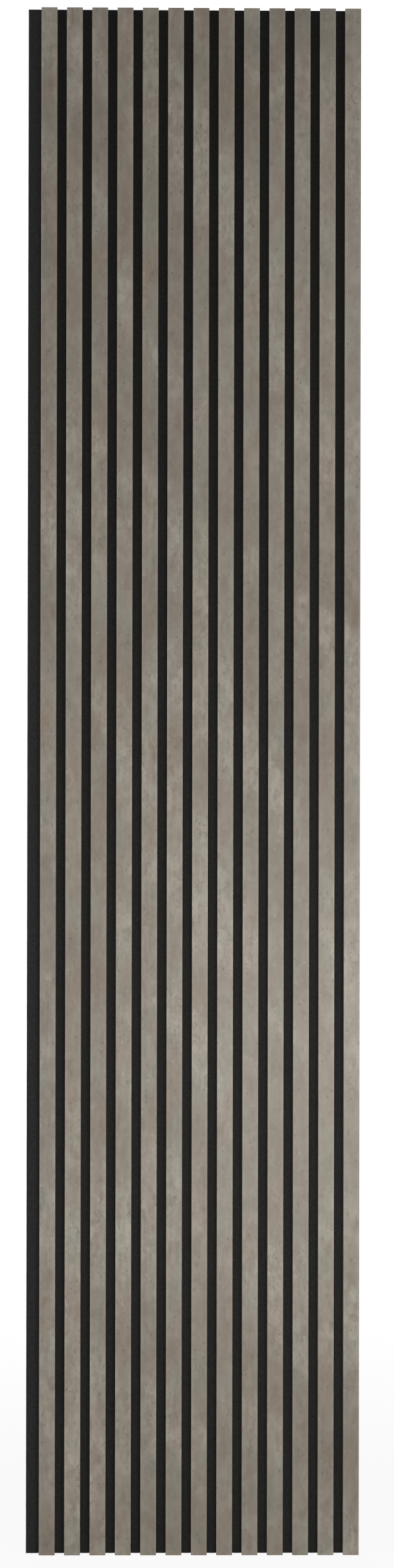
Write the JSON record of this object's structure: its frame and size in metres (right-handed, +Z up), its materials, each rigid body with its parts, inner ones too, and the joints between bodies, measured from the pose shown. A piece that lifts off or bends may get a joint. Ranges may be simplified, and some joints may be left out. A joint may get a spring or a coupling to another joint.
{
  "type": "acoustic slat wall panel",
  "caption": "Tall wall panel of evenly spaced concrete-look slats on black acoustic felt, with a bare felt strip and an overhanging slat that hide the joint between panels.",
  "frame": {"origin": "middle of the felt's back face, which lies on the wall", "axes": "+Z up along the slats, +X across to the right as the slats are looked at, +Y into the wall, so the slats face -Y"},
  "size_m": [0.526, 0.021, 2.44],
  "materials": {
    "slat_decor": "matt concrete-look decor foil on MDF",
    "felt": "black needle-punched polyester felt",
    "staple_wire": "galvanised wire"
  },
  "bodies": {
    "root": {"felt_backing": "felt", "slat_01": "slat_decor", "slat_02": "slat_decor", "slat_03": "slat_decor", "slat_04": "slat_decor", "slat_05": "slat_decor", "slat_06": "slat_decor", "slat_07": "slat_decor", "slat_08": "slat_decor", "slat_09": "slat_decor", "slat_10": "slat_decor", "slat_11": "slat_decor", "slat_12": "slat_decor", "slat_13": "slat_decor", "staples": "staple_wire"}
  },
  "joints": []
}
